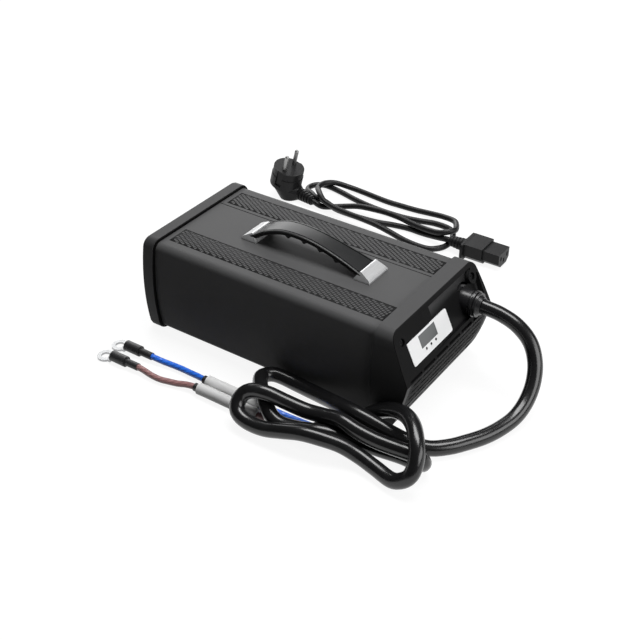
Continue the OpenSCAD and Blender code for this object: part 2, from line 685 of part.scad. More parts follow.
// Shrunk boot over a lug's barrel: a thin sleeve, then a thick one.
module boot_shape(y) {
  difference() {
    union() {
      rod_x(-119, lug_x, 7.2, y, lug_z);
      rod_x(boot_x, -118.4, 10.4, y, lug_z);
    }
    rod_x(lug_x - 7, lug_x + 1, wire_d, y, lug_z);
    block([boot_x - 2, y - 4.7, lug_z - 1.1], [boot_x + 6.1, y + 4.7, lug_z + 1.1]);
  }
}
module boot_blue() {
  color("#1d1d1f") boot_shape(lug_blue_y);
}
module boot_brown() {
  color("#1d1d1f") boot_shape(lug_brown_y);
}

// Tinned ring terminal: a flat ring on a tongue that goes into the boot.
module terminal(y) {
  difference() {
    union() {
      translate([ring_x, y, 0.2]) cylinder(d = ring_d, h = 2, $fn = 64);
      block([ring_x, y - 4.6, 0.2], [boot_x - 0.1, y + 4.6, 2.2]);
      block([boot_x - 1.4, y - 4.6, 0.2], [boot_x - 0.1, y + 4.6, lug_z + 1]);
      block([boot_x - 0.2, y - 4.6, lug_z - 1], [boot_x + 6, y + 4.6, lug_z + 1]);
    }
    translate([ring_x, y, -1]) cylinder(d = ring_hole_d, h = 4, $fn = 64);
  }
}
module ring_blue() {
  color("#d8d9da") terminal(lug_blue_y);
}
module ring_brown() {
  color("#d8d9da") terminal(lug_brown_y);
}

// Detachable mains lead: connector, plug, two short runs and a hank between them.
conn_y = back_y + 145;
conn_z = 10.2;
plug_x = -190.4;
plug_y = back_y + 144;
relief_y = plug_y - 1;
relief_turn = 15;
lead_a_route = [[-147, relief_y - 6.3, 8], [-139, relief_y - 7.2, 6.8], [-132, relief_y - 4.8, 5.2],
  [-126, relief_y - 0.4, 4.3]];
lead_b_route = [[11.4, conn_y + 2, 7.8], [20, conn_y + 0.4, 9.6], [28.5, conn_y, conn_z]];
module mains_lead_a() {
  color("#141415") tube(lead_a_route, mains_d - 0.1, 10);
}
module mains_lead_b() {
  color("#141415") tube(lead_b_route, mains_d - 0.1, 10);
}
module mains_hank() {
  color("#141415") {
    hank_step(-138, 28, back_y + 124, back_y + 196, 0.1, 19);
    hank_step(-177, -80, back_y + 150, back_y + 193, 0.1, 16);
  }
}

// Outline of the mains connector's nose lying flat, cut corners below.
module connector_shape(w, h, c = 5) {
  polygon([[-w / 2, h / 2], [-w / 2, -h / 2 + c], [-w / 2 + c, -h / 2], [w / 2 - c, -h / 2], [w / 2, -h / 2 + c],
    [w / 2, h / 2]]);
}
module connector_body() {
  color("#1b1b1c") difference() {
    union() {
      translate([71.5, conn_y, conn_z]) rotate([90, 0, 90]) linear_extrude(20) connector_shape(24, 16);
      translate([50, conn_y, conn_z]) rotate([90, 0, 90]) linear_extrude(22) connector_shape(28, 19.6, 6);
      translate([47.5, conn_y, conn_z]) rotate([90, 0, 90]) linear_extrude(3) round_rect(34, 20, 5);
      cone_x(27.5, 47.51, 9.6, 13.6, conn_y, conn_z);
      for (k = [0:4]) rod_x(29.5 + k * 3.8, 31.5 + k * 3.8, 12 + k * 0.7, conn_y, conn_z);
    }
    rod_x(26, 31, mains_d, conn_y, conn_z);
    for (p = [[-7, 2], [7, 2], [0, -2]])
      translate([75.5, conn_y + p[0], conn_z + p[1]]) rotate([90, 0, 90]) linear_extrude(20) square([2.6, 5], center = true);
  }
}

// Brass sockets inside the connector's three slots.
module connector_contacts() {
  color("#c9a24a") for (p = [[-7, 2], [7, 2], [0, -2]])
    block([75.5, conn_y + p[0] - 1.29, conn_z + p[1] - 2.49], [81, conn_y + p[0] + 1.29, conn_z + p[1] + 2.49]);
}

// Frame of the plug: its pins point along its own +Z, leaning a little towards +X.
plug_lean = 14;
module on_plug() {
  translate([plug_x, plug_y, 15]) rotate([0, plug_lean, 0]) children();
}

// Angled mains plug: a round head, a tapered back and a ribbed sleeve for the lead.
module on_relief() {
  translate([plug_x + 20, relief_y, 8]) rotate([0, 0, -relief_turn]) children();
}
module plug_body() {
  color("#1a1a1b") difference() {
    union() {
      on_plug() translate([0, 0, 14]) cylinder(d = plug_d - 1.4, h = 9, $fn = 96);
      on_plug() cylinder(d = plug_d, h = 14.01, $fn = 96);
      hull() {
        on_plug() translate([0, 0, 1]) cylinder(d = plug_d - 1.6, h = 0.5, $fn = 48);
        translate([plug_x + 7, plug_y - 1, 0.2]) cylinder(d = 24, h = 0.5, $fn = 32);
        translate([plug_x + 20, relief_y, 8]) rotate([0, 90, 0]) cylinder(d = 15, h = 1, $fn = 32);
      }
      on_relief() {
        cone_x(0, 25, 12.6, 9);
        for (k = [0:4]) rod_x(3 + k * 4.4, 5.4 + k * 4.4, 14.2 - k * 0.7);
      }
    }
    on_plug() for (s = [-1, 1]) translate([0, s * (plug_d / 2 + 1), 14]) cube([8, 6, 20], center = true);
    on_relief() rod_x(22, 26, mains_d);
    translate([plug_x - 60, plug_y - 60, -20]) cube([160, 120, 20.1]);
  }
}

// Two round pins with plain shoulders.
module plug_pins() {
  color("#cfd1d2") on_plug() for (s = [-1, 1]) translate([0, s * pin_gap / 2, 22.99]) {
    cylinder(d = pin_d, h = pin_len - 1.2, $fn = 48);
    translate([0, 0, pin_len - 1.21]) cylinder(d1 = pin_d, d2 = pin_d - 1.6, h = 1.2, $fn = 48);
  }
}

housing();
rear_cap();
front_cap();
rear_gasket();
display_board();
display_label();
display_window();
indicator_lamps();
front_screws();
rear_screws();
gland_body();
gland_boot();
handle_strap();
bracket_left();
bracket_right();
fan_frame();
fan_rotor();
fan_guard();
mains_inlet();
inlet_pins();
circuit_board();
heat_sinks();
transformer();
capacitors();
choke();
dc_lead();
dc_hank();
sleeve_blue();
sleeve_brown();
collar_blue();
collar_brown();
wire_blue();
wire_brown();
boot_blue();
boot_brown();
ring_blue();
ring_brown();
mains_lead_a();
mains_hank();
mains_lead_b();
connector_body();
connector_contacts();
plug_body();
plug_pins();
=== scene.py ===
"""Looks of the lithium battery charger, its captive charging lead and its mains lead.

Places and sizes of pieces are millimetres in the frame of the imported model, and MM turns them into metres.
A finish lies on object coordinates, so its own places and depths are metres.
"""
import math

import bpy
from mathutils import Matrix, Vector


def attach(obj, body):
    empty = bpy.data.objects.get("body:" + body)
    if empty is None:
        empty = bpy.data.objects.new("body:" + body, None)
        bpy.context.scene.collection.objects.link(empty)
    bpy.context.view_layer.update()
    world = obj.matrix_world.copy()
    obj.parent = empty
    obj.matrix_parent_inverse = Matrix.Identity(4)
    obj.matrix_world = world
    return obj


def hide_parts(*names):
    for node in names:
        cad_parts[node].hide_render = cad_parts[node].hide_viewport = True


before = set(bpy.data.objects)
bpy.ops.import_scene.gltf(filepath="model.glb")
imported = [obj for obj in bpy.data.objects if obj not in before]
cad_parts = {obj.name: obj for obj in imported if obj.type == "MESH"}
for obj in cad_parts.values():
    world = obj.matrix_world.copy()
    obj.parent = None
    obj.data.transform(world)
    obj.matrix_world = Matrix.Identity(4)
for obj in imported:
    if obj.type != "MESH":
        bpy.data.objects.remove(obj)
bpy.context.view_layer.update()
MM = 0.001


# The view of the photo, fitted to it: a place in millimetres, two angles in degrees and a roll in radians
FOCAL_LENGTH = 62.093
SENSOR_WIDTH = 36.0
EYE_PLACE = (486.54, -706.94, 624.23)
EYE_AZIMUTH = 34.1205
EYE_ELEVATION = 35.0486
EYE_ROLL = 0.002308


def photo_camera():
    """A camera that stands, looks and leans as the one of the photo did."""
    lens = bpy.data.cameras.new("photo_view")
    lens.lens = FOCAL_LENGTH
    lens.sensor_width = SENSOR_WIDTH
    lens.clip_start = 0.02
    lens.clip_end = 40.0
    eye = bpy.data.objects.new("photo_view", lens)
    bpy.context.scene.collection.objects.link(eye)
    azimuth = math.radians(EYE_AZIMUTH)
    elevation = math.radians(EYE_ELEVATION)
    back = Vector((math.sin(azimuth) * math.cos(elevation), -math.cos(azimuth) * math.cos(elevation),
                   math.sin(elevation)))
    side = Vector((math.cos(azimuth), math.sin(azimuth), 0.0))
    up = back.cross(side)
    right = side * math.cos(EYE_ROLL) + up * math.sin(EYE_ROLL)
    top = up * math.cos(EYE_ROLL) - side * math.sin(EYE_ROLL)
    turned = Matrix((right, top, back)).transposed().to_4x4()
    eye.matrix_world = Matrix.Translation(Vector(EYE_PLACE) * MM) @ turned
    bpy.context.scene.camera = eye


photo_camera()


# Node trees written as expressions
class Value:
    """One socket of a node tree. Sums, products and comparisons of it add the Math nodes that they need."""

    def __init__(self, owner, socket):
        self.owner = owner
        self.socket = socket

    def maths(self, operation, *values):
        return self.owner.node("Math", {"operation": operation}, *values).value()

    def __add__(self, other):
        return self.maths("ADD", self, other)

    def __radd__(self, other):
        return self.maths("ADD", other, self)

    def __sub__(self, other):
        return self.maths("SUBTRACT", self, other)

    def __rsub__(self, other):
        return self.maths("SUBTRACT", other, self)

    def __mul__(self, other):
        return self.maths("MULTIPLY", self, other)

    def __rmul__(self, other):
        return self.maths("MULTIPLY", other, self)

    def __gt__(self, other):
        return self.maths("GREATER_THAN", self, other)

    def __lt__(self, other):
        return self.maths("LESS_THAN", self, other)

    def __abs__(self):
        return self.maths("ABSOLUTE", self)

    def sine(self):
        return self.maths("SINE", self)

    def wrap(self, period):
        """What is left of this value in a row of equal periods that starts at 0."""
        return self.maths("WRAP", self, period, 0.0)

    def ramp(self, low, high):
        """A share that runs from 0 to 1 while this value goes from low to high."""
        return self.owner.node("MapRange", {"clamp": True}, self, low, high, 0.0, 1.0).value()


class Made:
    """A node with its outputs by number or name."""

    def __init__(self, owner, node):
        self.owner = owner
        self.node = node

    def value(self, output=0):
        return Value(self.owner, self.node.outputs[output])


class Nodes:
    """A node tree whose new nodes come from the first of its families that has the kind."""

    families = ("ShaderNode",)

    def node(self, kind, settings=None, *values, **named):
        """A node of that kind: its settings first, then the values or links of its sockets."""
        family = next(f for f in self.families if hasattr(bpy.types, f + kind))
        made = self.tree.nodes.new(family + kind)
        for key, value in (settings or {}).items():
            setattr(made, key, value)
        pairs = list(zip(made.inputs, values))
        for key, value in named.items():
            wanted = key.replace("_", " ")
            pairs.append((next(s for s in made.inputs if s.name == wanted and s.enabled), value))
        for socket, value in pairs:
            if isinstance(value, Value):
                self.tree.links.new(value.socket, socket)
            elif value is not None:
                socket.default_value = value
        return Made(self, made)


class Finish(Nodes):
    """A material on one Principled shader. Its constants sit on the shader's own sockets."""

    def __init__(self, name, colour, roughness, **constants):
        self.material = bpy.data.materials.new(name)
        self.material.use_nodes = True
        self.tree = self.material.node_tree
        self.shader = self.tree.nodes["Principled BSDF"]
        self.shader.inputs["Base Color"].default_value = (*colour, 1)
        self.shader.inputs["Roughness"].default_value = roughness
        for socket, value in constants.items():
            self.shader.inputs[socket.replace("_", " ")].default_value = value
        self.place = self.node("TexCoord").value("Object")

    def axes(self):
        split = self.node("SeparateXYZ", None, self.place)
        return [split.value(k) for k in range(3)]

    def stretched(self, scale):
        """Object coordinates stretched by a factor on each axis."""
        return self.node("Mapping", None, self.place, Scale=scale).value()

    def noise(self, scale, detail=3.0, roughness=0.55, where=None):
        made = self.node("TexNoise", None, Vector=where or self.place, Scale=scale, Detail=detail,
                         Roughness=roughness)
        return made.value("Fac")

    def blend(self, share, first, second):
        """Colour that goes from first to second with share."""
        made = self.node("Mix", {"data_type": "RGBA"})
        for socket, value in ((0, share), (6, first), (7, second)):
            if isinstance(value, Value):
                self.tree.links.new(value.socket, made.node.inputs[socket])
            else:
                made.node.inputs[socket].default_value = (*value, 1)
        return made.value(2)

    def paint(self, socket, value):
        self.tree.links.new(value.socket, self.shader.inputs[socket])

    def relief(self, height, depth, strength=1.0):
        """Bump of that height field, whose depth is in metres."""
        bump = self.node("Bump", None, Strength=strength, Distance=depth, Height=height)
        self.paint("Normal", bump.value("Normal"))


# Plastics, paint and rubber
def grained(name, colour, light, roughness, grain=1400.0, depth=0.00006, **constants):
    """Moulded or coated surface: fine grain, faint cloudiness in colour and gloss."""
    finish = Finish(name, colour, roughness, **constants)
    cloud = finish.noise(28.0, 4.0)
    fine = finish.noise(grain, 2.0, 0.6)
    lighter = cloud.ramp(0.35, 0.7) * 0.6 + fine.ramp(0.35, 0.65) * 0.4
    finish.paint("Base Color", finish.blend(lighter, colour, light))
    finish.paint("Roughness", cloud * 0.08 + fine * 0.048 + (roughness - 0.064))
    finish.relief(fine, depth)
    return finish.material


case_paint = grained("case_paint", (0.075, 0.075, 0.076), (0.082, 0.082, 0.083), 0.50,
                     grain=1900.0, depth=0.00005, Specular_IOR_Level=0.06)
# Painted shade: the dark bed that shows between the strips' pads
strip_painted_shade = grained("strip_painted_shade", (0.026, 0.026, 0.0265), (0.032, 0.032, 0.0325), 0.62,
                      Specular_IOR_Level=0.1)
rear_plastic = grained("rear_plastic", (0.036, 0.036, 0.037), (0.042, 0.042, 0.043), 0.50,
                       grain=1500.0, Specular_IOR_Level=0.12)
# Near-black gasket between the rear cap and the housing; its black partly paints the shade on the cap's step
gasket_and_step_shade = grained("gasket_and_step_shade", (0.002, 0.002, 0.002), (0.004, 0.004, 0.004), 0.7,
                        Specular_IOR_Level=0.05)
strap_rubber = grained("strap_rubber", (0.013, 0.0135, 0.014), (0.017, 0.0175, 0.018), 0.33,
                       grain=1100.0, Specular_IOR_Level=0.32)
gland_plastic = grained("gland_plastic", (0.012, 0.012, 0.013), (0.018, 0.018, 0.019), 0.30,
                        grain=900.0, depth=0.00004)
fan_plastic = grained("fan_plastic", (0.018, 0.018, 0.019), (0.025, 0.025, 0.026), 0.42)
moulded_rubber = grained("moulded_rubber", (0.011, 0.011, 0.0115), (0.017, 0.017, 0.0175), 0.42,
                         grain=1300.0, Specular_IOR_Level=0.2)
shrink_tube = grained("shrink_tube", (0.016, 0.016, 0.017), (0.024, 0.024, 0.025), 0.45,
                      grain=700.0, depth=0.00008)
screw_black = grained("screw_black", (0.014, 0.014, 0.015), (0.022, 0.022, 0.023), 0.38,
                      grain=900.0, depth=0.00003, Metallic=0.4)


# The front cap: on its slanted face x + FACE_LEAN * z is over FACE_REACH, and behind the face it is under
FACE_LEAN = 0.465
FACE_REACH = 0.1710
# Painted light: the top is painted lighter as it rises between the first two heights, and the sides as they
# reach out between the two half-widths, while the slanted face keeps a painted darker shade
TOP_PAINTED_LIGHT_FROM = 0.0845
TOP_PAINTED_LIGHT_TO = 0.094
SIDE_PAINTED_LIGHT_FROM = 0.066
SIDE_PAINTED_LIGHT_TO = 0.070
# Painted shade of its vents: rows below the ridge, with bridges of plastic between the vents of a row
VENTS_TOP = 0.0545
VENTS_REAR = 0.115
VENTS_HALF_WIDTH = 0.0635
VENT_ROW_START = 0.0546
VENT_ROW_STEP = 0.0082
VENT_ROW_SHADE_HEIGHT = 0.0036
VENT_START = -0.0029
VENT_STEP = 0.0222
VENT_LENGTH = 0.0188


def display_end_plastic():
    """Painted light: lighter on top and on the sides, painted darker on the slanted face, with painted shade
    of the vent rows below the ridge.
    """
    finish = Finish("front_plastic", (0.020, 0.020, 0.0205), 0.40, Specular_IOR_Level=0.05)
    x, y, z = finish.axes()
    cloud = finish.noise(28.0, 4.0)
    fine = finish.noise(1500.0, 2.0, 0.6)
    mottle = cloud * 0.5 + fine * 0.3
    behind_face = (x + z * FACE_LEAN) < FACE_REACH
    # Painted light on the top and the sides behind the face, over a painted darker shade on the slanted face
    top = z.ramp(TOP_PAINTED_LIGHT_FROM, TOP_PAINTED_LIGHT_TO) * behind_face
    side_painted_light = abs(y).ramp(SIDE_PAINTED_LIGHT_FROM, SIDE_PAINTED_LIGHT_TO) * behind_face * 0.45
    face_painted_shade = finish.blend(mottle, (0.006, 0.006, 0.0062), (0.010, 0.010, 0.0103))
    top_painted_light = finish.blend(mottle, (0.063, 0.063, 0.064), (0.071, 0.071, 0.072))
    # Painted shade of the vent rows below the ridge, broken by the bridges between the vents
    below_ridge = (z < VENTS_TOP) * (x > VENTS_REAR) * (abs(y) < VENTS_HALF_WIDTH)
    row = (z - VENT_ROW_START).wrap(VENT_ROW_STEP) < VENT_ROW_SHADE_HEIGHT
    bridge = ((y - VENT_START).wrap(VENT_STEP) > VENT_LENGTH) * 0.7
    shade = below_ridge * row * (1.0 - bridge) * 0.85
    skin = finish.blend(top + (1.0 - top) * side_painted_light, face_painted_shade, top_painted_light)
    finish.paint("Base Color", finish.blend(shade, skin, (0.002, 0.002, 0.002)))
    finish.paint("Roughness", cloud * 0.08 + fine * 0.05 + shade * 0.4 + 0.34)
    finish.relief(fine, 0.00006)
    return finish.material


front_plastic = display_end_plastic()


# Cables and wires
def cable_jacket(name, roughness, coat, specular):
    """Black cable sheath with faint scuffs."""
    finish = Finish(name, (0.010, 0.010, 0.0105), roughness, Coat_Weight=coat, Coat_Roughness=0.12,
                    Specular_IOR_Level=specular)
    scuff = finish.noise(60.0, 5.0, 0.6)
    fine = finish.noise(420.0)
    scuffed = finish.blend(scuff.ramp(0.5, 0.75), (0.009, 0.009, 0.0095), (0.015, 0.015, 0.016))
    finish.paint("Base Color", scuffed)
    finish.paint("Roughness", scuff * 0.10 + fine * 0.05 + (roughness - 0.075))
    finish.relief(fine, 0.00001, 0.5)
    return finish.material


STRANDS = 6
LAY_RADIANS_PER_METRE = 900.0


def twisted_wire(name, colour, shade):
    """Insulated wire whose strands show through as a fine slanting lay, on the tube's own UV map."""
    finish = Finish(name, colour, 0.34, Coat_Weight=0.3, Coat_Roughness=0.2)
    split = finish.node("SeparateXYZ", None, finish.node("UVMap", {"uv_map": "lay"}).value())
    turn = split.value(0) * LAY_RADIANS_PER_METRE + split.value(1) * (STRANDS * 2 * math.pi)
    lay = (turn.sine() + 1.0) * 0.5
    cloud = finish.noise(90.0)
    finish.paint("Base Color", finish.blend(lay * 0.55 + cloud * 0.3, colour, shade))
    finish.paint("Roughness", lay * 0.12 + cloud * 0.1 + 0.24)
    finish.relief(lay, 0.00022)
    return finish.material


charging_jacket = cable_jacket("charging_jacket", 0.245, coat=0.2, specular=0.5)
mains_jacket = cable_jacket("mains_jacket", 0.43, coat=0.0, specular=0.30)
blue_wire_skin = twisted_wire("blue_wire_skin", (0.030, 0.200, 0.86), (0.012, 0.100, 0.62))
brown_wire_skin = twisted_wire("brown_wire_skin", (0.380, 0.200, 0.198), (0.230, 0.112, 0.110))


# Metals
def brushed(name, colour, dark, roughness, marks_per_metre, metallic=1.0):
    """Metal with fine marks, drawn out along the axis that has the fewest of them a metre, if one has."""
    finish = Finish(name, colour, roughness, Metallic=metallic)
    marks = finish.noise(1.0, 4.0, 0.7, finish.stretched(marks_per_metre))
    cloud = finish.noise(60.0)
    finish.paint("Base Color", finish.blend(marks.ramp(0.3, 0.7) * 0.7 + cloud * 0.3, colour, dark))
    finish.paint("Roughness", marks * 0.16 + cloud * 0.1 + (roughness - 0.12))
    finish.relief(marks, 0.00004)
    return finish.material


bracket_metal = brushed("bracket_metal", (0.72, 0.725, 0.73), (0.58, 0.585, 0.59), 0.40,
                        (2200.0, 60.0, 2200.0), metallic=0.60)
tinned_copper = brushed("tinned_copper", (0.43, 0.435, 0.44), (0.35, 0.355, 0.36), 0.36,
                        (300.0, 300.0, 300.0))
plated_wire = brushed("plated_wire", (0.62, 0.63, 0.64), (0.45, 0.46, 0.47), 0.26, (200.0, 200.0, 200.0))
pin_nickel = brushed("pin_nickel", (0.40, 0.40, 0.395), (0.30, 0.30, 0.295), 0.42, (400.0, 400.0, 60.0))
contact_brass = brushed("contact_brass", (0.72, 0.50, 0.20), (0.50, 0.34, 0.12), 0.32,
                        (400.0, 400.0, 400.0))
sink_alloy = brushed("sink_alloy", (0.58, 0.59, 0.60), (0.42, 0.43, 0.44), 0.40, (30.0, 2600.0, 2600.0))


# Films, lacquers and tapes
def plain_film(name, colour, shade, roughness, coat=0.0):
    """Smooth surface with a faint unevenness in colour and gloss."""
    finish = Finish(name, colour, roughness, Coat_Weight=coat, Coat_Roughness=0.08)
    cloud = finish.noise(45.0)
    fine = finish.noise(800.0, 2.0)
    finish.paint("Base Color", finish.blend(cloud * 0.7 + fine * 0.3, colour, shade))
    finish.paint("Roughness", cloud * 0.08 + fine * 0.04 + (roughness - 0.06))
    finish.relief(fine, 0.00001)
    return finish.material


label_film = plain_film("label_film", (0.90, 0.905, 0.91), (0.86, 0.865, 0.87), 0.22, coat=0.4)
window_film = plain_film("window_film", (0.118, 0.124, 0.127), (0.102, 0.107, 0.110), 0.24, coat=0.3)
lamp_lens = plain_film("lamp_lens", (0.022, 0.022, 0.024), (0.03, 0.03, 0.032), 0.16, coat=0.5)
sleeve_tubing = plain_film("sleeve_tubing", (0.72, 0.72, 0.718), (0.64, 0.64, 0.638), 0.36)
board_lacquer = plain_film("board_lacquer", (0.015, 0.13, 0.05), (0.01, 0.09, 0.035), 0.3, coat=0.4)
winding_tape = plain_film("winding_tape", (0.44, 0.27, 0.06), (0.30, 0.18, 0.04), 0.45)
capacitor_skin = plain_film("capacitor_skin", (0.02, 0.03, 0.07), (0.03, 0.04, 0.09), 0.3)
choke_wire = plain_film("choke_wire", (0.34, 0.13, 0.04), (0.22, 0.08, 0.03), 0.35)

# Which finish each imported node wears
NODE_FINISHES = {
    case_paint: ("housing",),
    rear_plastic: ("rear_cap",),
    front_plastic: ("front_cap",),
    gasket_and_step_shade: ("rear_gasket",),
    board_lacquer: ("display_board", "circuit_board"),
    label_film: ("display_label",),
    window_film: ("display_window",),
    lamp_lens: ("indicator_lamps",),
    screw_black: ("front_screws", "rear_screws"),
    gland_plastic: ("gland_body", "gland_boot", "mains_inlet"),
    strap_rubber: ("handle_strap",),
    bracket_metal: ("bracket_left", "bracket_right"),
    fan_plastic: ("fan_frame", "fan_rotor"),
    plated_wire: ("fan_guard",),
    pin_nickel: ("inlet_pins", "plug_pins"),
    sink_alloy: ("heat_sinks",),
    winding_tape: ("transformer",),
    capacitor_skin: ("capacitors",),
    choke_wire: ("choke",),
    sleeve_tubing: ("sleeve_blue", "sleeve_brown"),
    shrink_tube: ("collar_blue", "collar_brown", "boot_blue", "boot_brown"),
    tinned_copper: ("ring_blue", "ring_brown"),
    moulded_rubber: ("connector_body", "plug_body"),
    contact_brass: ("connector_contacts",),
    charging_jacket: ("dc_lead", "dc_hank"),
    mains_jacket: ("mains_lead_a", "mains_hank", "mains_lead_b"),
    blue_wire_skin: ("wire_blue",),
    brown_wire_skin: ("wire_brown",),
}
for finish, names in NODE_FINISHES.items():
    for name in names:
        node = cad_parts[name]
        node.data.materials.clear()
        node.data.materials.append(finish)


# Making meshes
def linked(name, data):
    """An object of that data in the scene, at the origin."""
    made = bpy.data.objects.new(name, data)
    bpy.context.scene.collection.objects.link(made)
    return made


def piece(name, verts, faces, material, smooth=None, uv=None):
    """A mesh in millimetres that rides on the charger. Only edges over smooth degrees are left sharp."""
    mesh = bpy.data.meshes.new(name)
    mesh.from_pydata([tuple(Vector(v) * MM) for v in verts], [], faces)
    mesh.validate()
    if uv:
        layer = mesh.uv_layers.new(name="lay")
        for poly, corners in zip(mesh.polygons, uv):
            for loop, corner in zip(poly.loop_indices, corners):
                layer.data[loop].uv = corner
    mesh.materials.append(material)
    mesh.shade_smooth()
    if smooth:
        mesh.set_sharp_from_angle(angle=math.radians(smooth))
    made = linked(name, mesh)
    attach(made, "charger")
    return made


CURVE_STEPS = 12


def through(points, step):
    """Points about step millimetres apart on a smooth curve through the given ones, and its length."""
    p = [Vector(q) for q in points]
    p = [p[0] * 2 - p[1], *p, p[-1] * 2 - p[-2]]
    fine = []
    for a, b, c, d in zip(p, p[1:], p[2:], p[3:]):
        for k in range(CURVE_STEPS):
            t = k / CURVE_STEPS
            square = (2 * a - 5 * b + 4 * c - d) * t * t
            cube = (3 * b - a - 3 * c + d) * t ** 3
            fine.append(0.5 * (2 * b + (c - a) * t + square + cube))
    fine.append(p[-2])
    run = [0.0]
    for a, b in zip(fine, fine[1:]):
        run.append(run[-1] + (b - a).length)
    count = max(2, round(run[-1] / step))
    out = []
    k = 0
    for n in range(count + 1):
        reach = run[-1] * n / count
        while k < len(run) - 2 and run[k + 1] < reach:
            k += 1
        share = 0.0 if run[k + 1] == run[k] else (reach - run[k]) / (run[k + 1] - run[k])
        out.append(fine[k].lerp(fine[k + 1], share))
    return out, run[-1]


def heading(line, k):
    """The direction of a line of points at its point k."""
    return (line[min(k + 1, len(line) - 1)] - line[max(k - 1, 0)]).normalized()


def frames_along(line):
    """The points of a line, each with two directions square to it, which don't twist, and the run so far."""
    axis = None
    run = 0.0
    frames = []
    for k, at in enumerate(line):
        ahead = heading(line, k)
        if axis is None:
            upright = Vector((0, 0, 1)) if abs(ahead.z) < 0.9 else Vector((0, 1, 0))
            axis = ahead.cross(upright).normalized()
        axis = (axis - ahead * axis.dot(ahead)).normalized()
        run += (at - line[k - 1]).length if k else 0.0
        frames.append((at, axis.copy(), ahead.cross(axis), run * MM))
    return frames


def tube(name, line, radius, material, sides, bore=0.0):
    """A closed tube round a line, with one radius or one for each point, and a hole as wide as bore."""
    radii = radius if isinstance(radius, list) else [radius] * len(line)
    frames = frames_along(line)
    rings = list(enumerate(radii))
    if bore:
        rings += [(k, bore / 2) for k in reversed(range(len(line)))]
    verts = []
    for k, r in rings:
        at, across, over, _ = frames[k]
        for j in range(sides):
            turn = 2 * math.pi * j / sides
            verts.append(at + r * (math.cos(turn) * across + math.sin(turn) * over))
    faces = []
    uv = []
    for n in range(len(rings) if bore else len(rings) - 1):
        after = (n + 1) % len(rings)
        here = frames[rings[n][0]][3]
        there = frames[rings[after][0]][3]
        for j in range(sides):
            m = (j + 1) % sides
            faces.append((n * sides + j, n * sides + m, after * sides + m, after * sides + j))
            uv.append(((here, j / sides), (here, (j + 1) / sides),
                       (there, (j + 1) / sides), (there, j / sides)))
    if not bore:
        for n in (0, len(line) - 1):
            verts.append(line[n])
            middle = len(verts) - 1
            for j in range(sides):
                a = n * sides + j
                b = n * sides + (j + 1) % sides
                faces.append((b, a, middle) if n == 0 else (a, b, middle))
                uv.append(((frames[n][3], 0.0),) * 3)
    return piece(name, verts, faces, material, smooth=60.0, uv=uv)


# The textured strips
class Layout(Nodes):
    """A Geometry Nodes tree: its inputs by name, its geometry in and out."""

    families = ("GeometryNode", "FunctionNode", "ShaderNode")

    def __init__(self, name, **inputs):
        self.tree = bpy.data.node_groups.new(name, "GeometryNodeTree")
        self.tree.interface.new_socket(name="Places", in_out="INPUT", socket_type="NodeSocketGeometry")
        for key, value in inputs.items():
            kind = "Int" if isinstance(value, int) else "Float" if isinstance(value, float) else "Material"
            self.tree.interface.new_socket(name=key, in_out="INPUT", socket_type=f"NodeSocket{kind}")
        self.tree.interface.new_socket(name="Made", in_out="OUTPUT", socket_type="NodeSocketGeometry")
        self.given = inputs
        self.entry = Made(self, self.tree.nodes.new("NodeGroupInput"))

    def asked(self, name):
        return self.entry.value(name)

    def laid(self, name, places, geometry, slot):
        """The layout turned into a plain mesh on the given places, in metres."""
        leave = self.tree.nodes.new("NodeGroupOutput")
        self.tree.links.new(geometry.socket, leave.inputs[0])
        start = bpy.data.meshes.new(name)
        start.from_pydata([tuple(p) for p in places], [], [])
        made = linked(name, start)
        step = made.modifiers.new("layout", "NODES")
        step.node_group = self.tree
        for item in self.tree.interface.items_tree:
            if item.in_out == "INPUT" and item.name in self.given:
                step[item.identifier] = self.given[item.name]
        plain = bpy.data.meshes.new_from_object(made.evaluated_get(bpy.context.evaluated_depsgraph_get()))
        made.modifiers.remove(step)
        made.data = plain
        plain.name = name
        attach(made, "charger")
        return made


def pressed_pads(name, places, long, wide, high, turn, top, seed):
    """Low pads on the places, lying along turn radians from x. The top keeps that share of the foot."""
    lay = Layout(name, Long=long * math.sqrt(2) * MM, Wide=wide * math.sqrt(2) * MM, High=high * MM,
                 Turn=turn, Top=top / 2, Seed=seed, Finish=case_paint)
    pad = lay.node("MeshCone", {"fill_type": "NGON"}, Vertices=4, Radius_Top=lay.asked("Top"),
                   Radius_Bottom=0.5, Depth=1.0)
    square = lay.node("Transform", None, Geometry=pad.value("Mesh"), Rotation=(0.0, 0.0, math.pi / 4))
    size = lay.node("CombineXYZ", None, lay.asked("Long"), lay.asked("Wide"), lay.asked("High"))
    sized = lay.node("Transform", None, Geometry=square.value(), Scale=size.value())
    slant = lay.node("CombineXYZ", None, Z=lay.asked("Turn"))
    turned = lay.node("Transform", None, Geometry=sized.value(), Rotation=slant.value())
    wear = lay.node("RandomValue", {"data_type": "FLOAT"}, Min=0.86, Max=1.0, Seed=lay.asked("Seed"))
    worn = lay.node("CombineXYZ", None, 1.0, 1.0, wear.value(1))
    spread = lay.node("InstanceOnPoints", None, Points=lay.asked("Places"), Instance=turned.value(),
                      Scale=worn.value())
    real = lay.node("RealizeInstances", None, spread.value())
    done = lay.node("SetMaterial", None, Geometry=real.value(), Material=lay.asked("Finish"))
    return lay.laid(name, [Vector(p) * MM for p in places], done.value(), "case_paint")


# The shallow recess of a strip, with its long sides measured from the middle of the charger
STRIP_REAR = -124.5
STRIP_FRONT = 107.8
STRIP_INNER = 31.35
STRIP_OUTER = 55.35
BED_FOOT = 95.3
BED_TOP = 95.44
